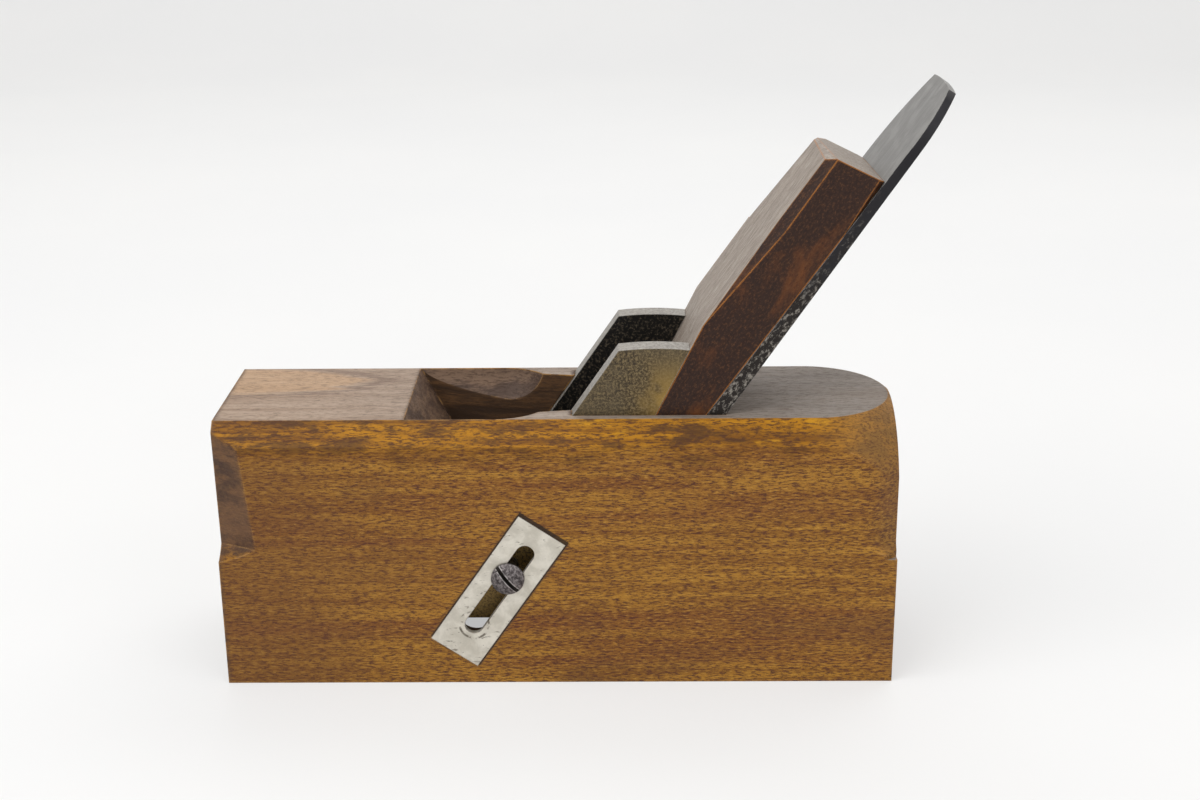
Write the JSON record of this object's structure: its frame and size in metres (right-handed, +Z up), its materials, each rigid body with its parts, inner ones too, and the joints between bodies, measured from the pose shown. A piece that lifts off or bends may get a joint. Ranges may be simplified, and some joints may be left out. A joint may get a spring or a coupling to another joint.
{
  "type": "chamfer plane",
  "caption": "Wooden chamfer plane with a vee sole, a sliding metal box locked by a screw at the side, a full-width wedge and a tapered iron.",
  "frame": {"origin": "on the centre line of the vee, in the plane of the sole, at mid length of the stock", "axes": "+X from toe to heel, +Y away from the side with the slotted plate, +Z up from the sole"},
  "size_m": [0.1896, 0.0563, 0.1563],
  "materials": {
    "beech": "worn oil",
    "plate_steel": "satin",
    "screw_steel": "aged",
    "box_metal": "aged patina",
    "wedge_beech": "dark worn oil",
    "iron_steel": "aged satin"
  },
  "bodies": {
    "stock": {"stock": "beech", "slot_plate": "plate_steel"},
    "box": {"near_cheek": "box_metal", "far_cheek": "box_metal", "box_sole_plate": "box_metal", "box_front_plate": "box_metal"},
    "locking_screw": {"locking_screw": "screw_steel"},
    "iron": {"iron": "iron_steel"},
    "wedge": {"wedge": "wedge_beech"}
  },
  "joints": [
    {"name": "box_slide", "type": "slide", "parent": "stock", "child": "box", "axis": [0.5664, 0, 0.8241], "range_m": [-0.0162, 0.0081]},
    {"name": "screw_turn", "type": "hinge", "parent": "box", "child": "locking_screw", "pos_m": [-0.01308, -0.027, 0.03058], "axis": [0, -1, 0], "range_deg": [0, 360]},
    {"name": "iron_lift", "type": "slide", "parent": "box", "child": "iron", "axis": [0.5664, 0, 0.8241], "range_m": [0, 0.1]},
    {"name": "wedge_lift", "type": "slide", "parent": "iron", "child": "wedge", "axis": [0.5824, 0, 0.8129], "range_m": [0, 0.085]}
  ]
}
